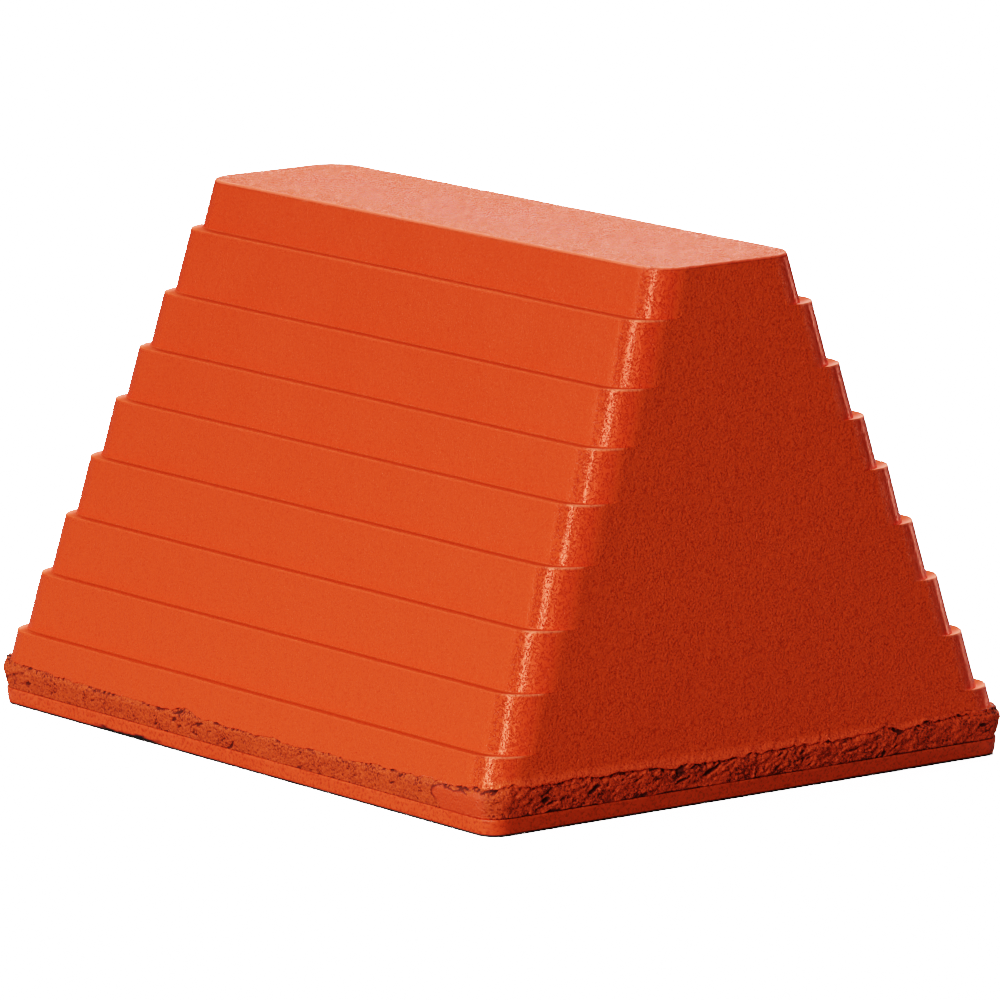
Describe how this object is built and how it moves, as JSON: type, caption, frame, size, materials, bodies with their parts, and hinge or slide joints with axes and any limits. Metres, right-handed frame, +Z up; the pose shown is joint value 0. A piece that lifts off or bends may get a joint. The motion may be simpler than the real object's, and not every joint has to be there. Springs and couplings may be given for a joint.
{
  "type": "wheel chock",
  "caption": "Moulded rubber wheel chock: a stepped wedge with a flat top, plain ends and a rough-edged flat base, set against a tyre so that a parked truck or trailer can't roll.",
  "frame": {"origin": "middle of the flat underside, which rests on the ground", "axes": "+Z up from the ground to the top face; Y runs along the ridge, between the plain end faces; X crosses the wedge, so the stepped faces that a tyre meets look towards +X and -X"},
  "size_m": [0.1976, 0.2526, 0.1583],
  "materials": {
    "orange_skin": "moulded orange rubber skin, semi-gloss with fine orange-peel grain, small pits and dark specks",
    "crumb_rubber": "coarse dark crumb rubber, matt",
    "torn_rubber": "torn, crumbly brown-orange rubber with dark cavities, matt",
    "orange_base": "smooth orange rubber, satin, slightly mottled",
    "black_sole": "black rubber, matt, fine cloth-pressed texture"
  },
  "bodies": {
    "root": {"stepped_cover": "orange_skin", "crumb_core": "crumb_rubber", "flash_band": "torn_rubber", "base_sheet": "orange_base", "sole_sheet": "black_sole"}
  },
  "joints": []
}
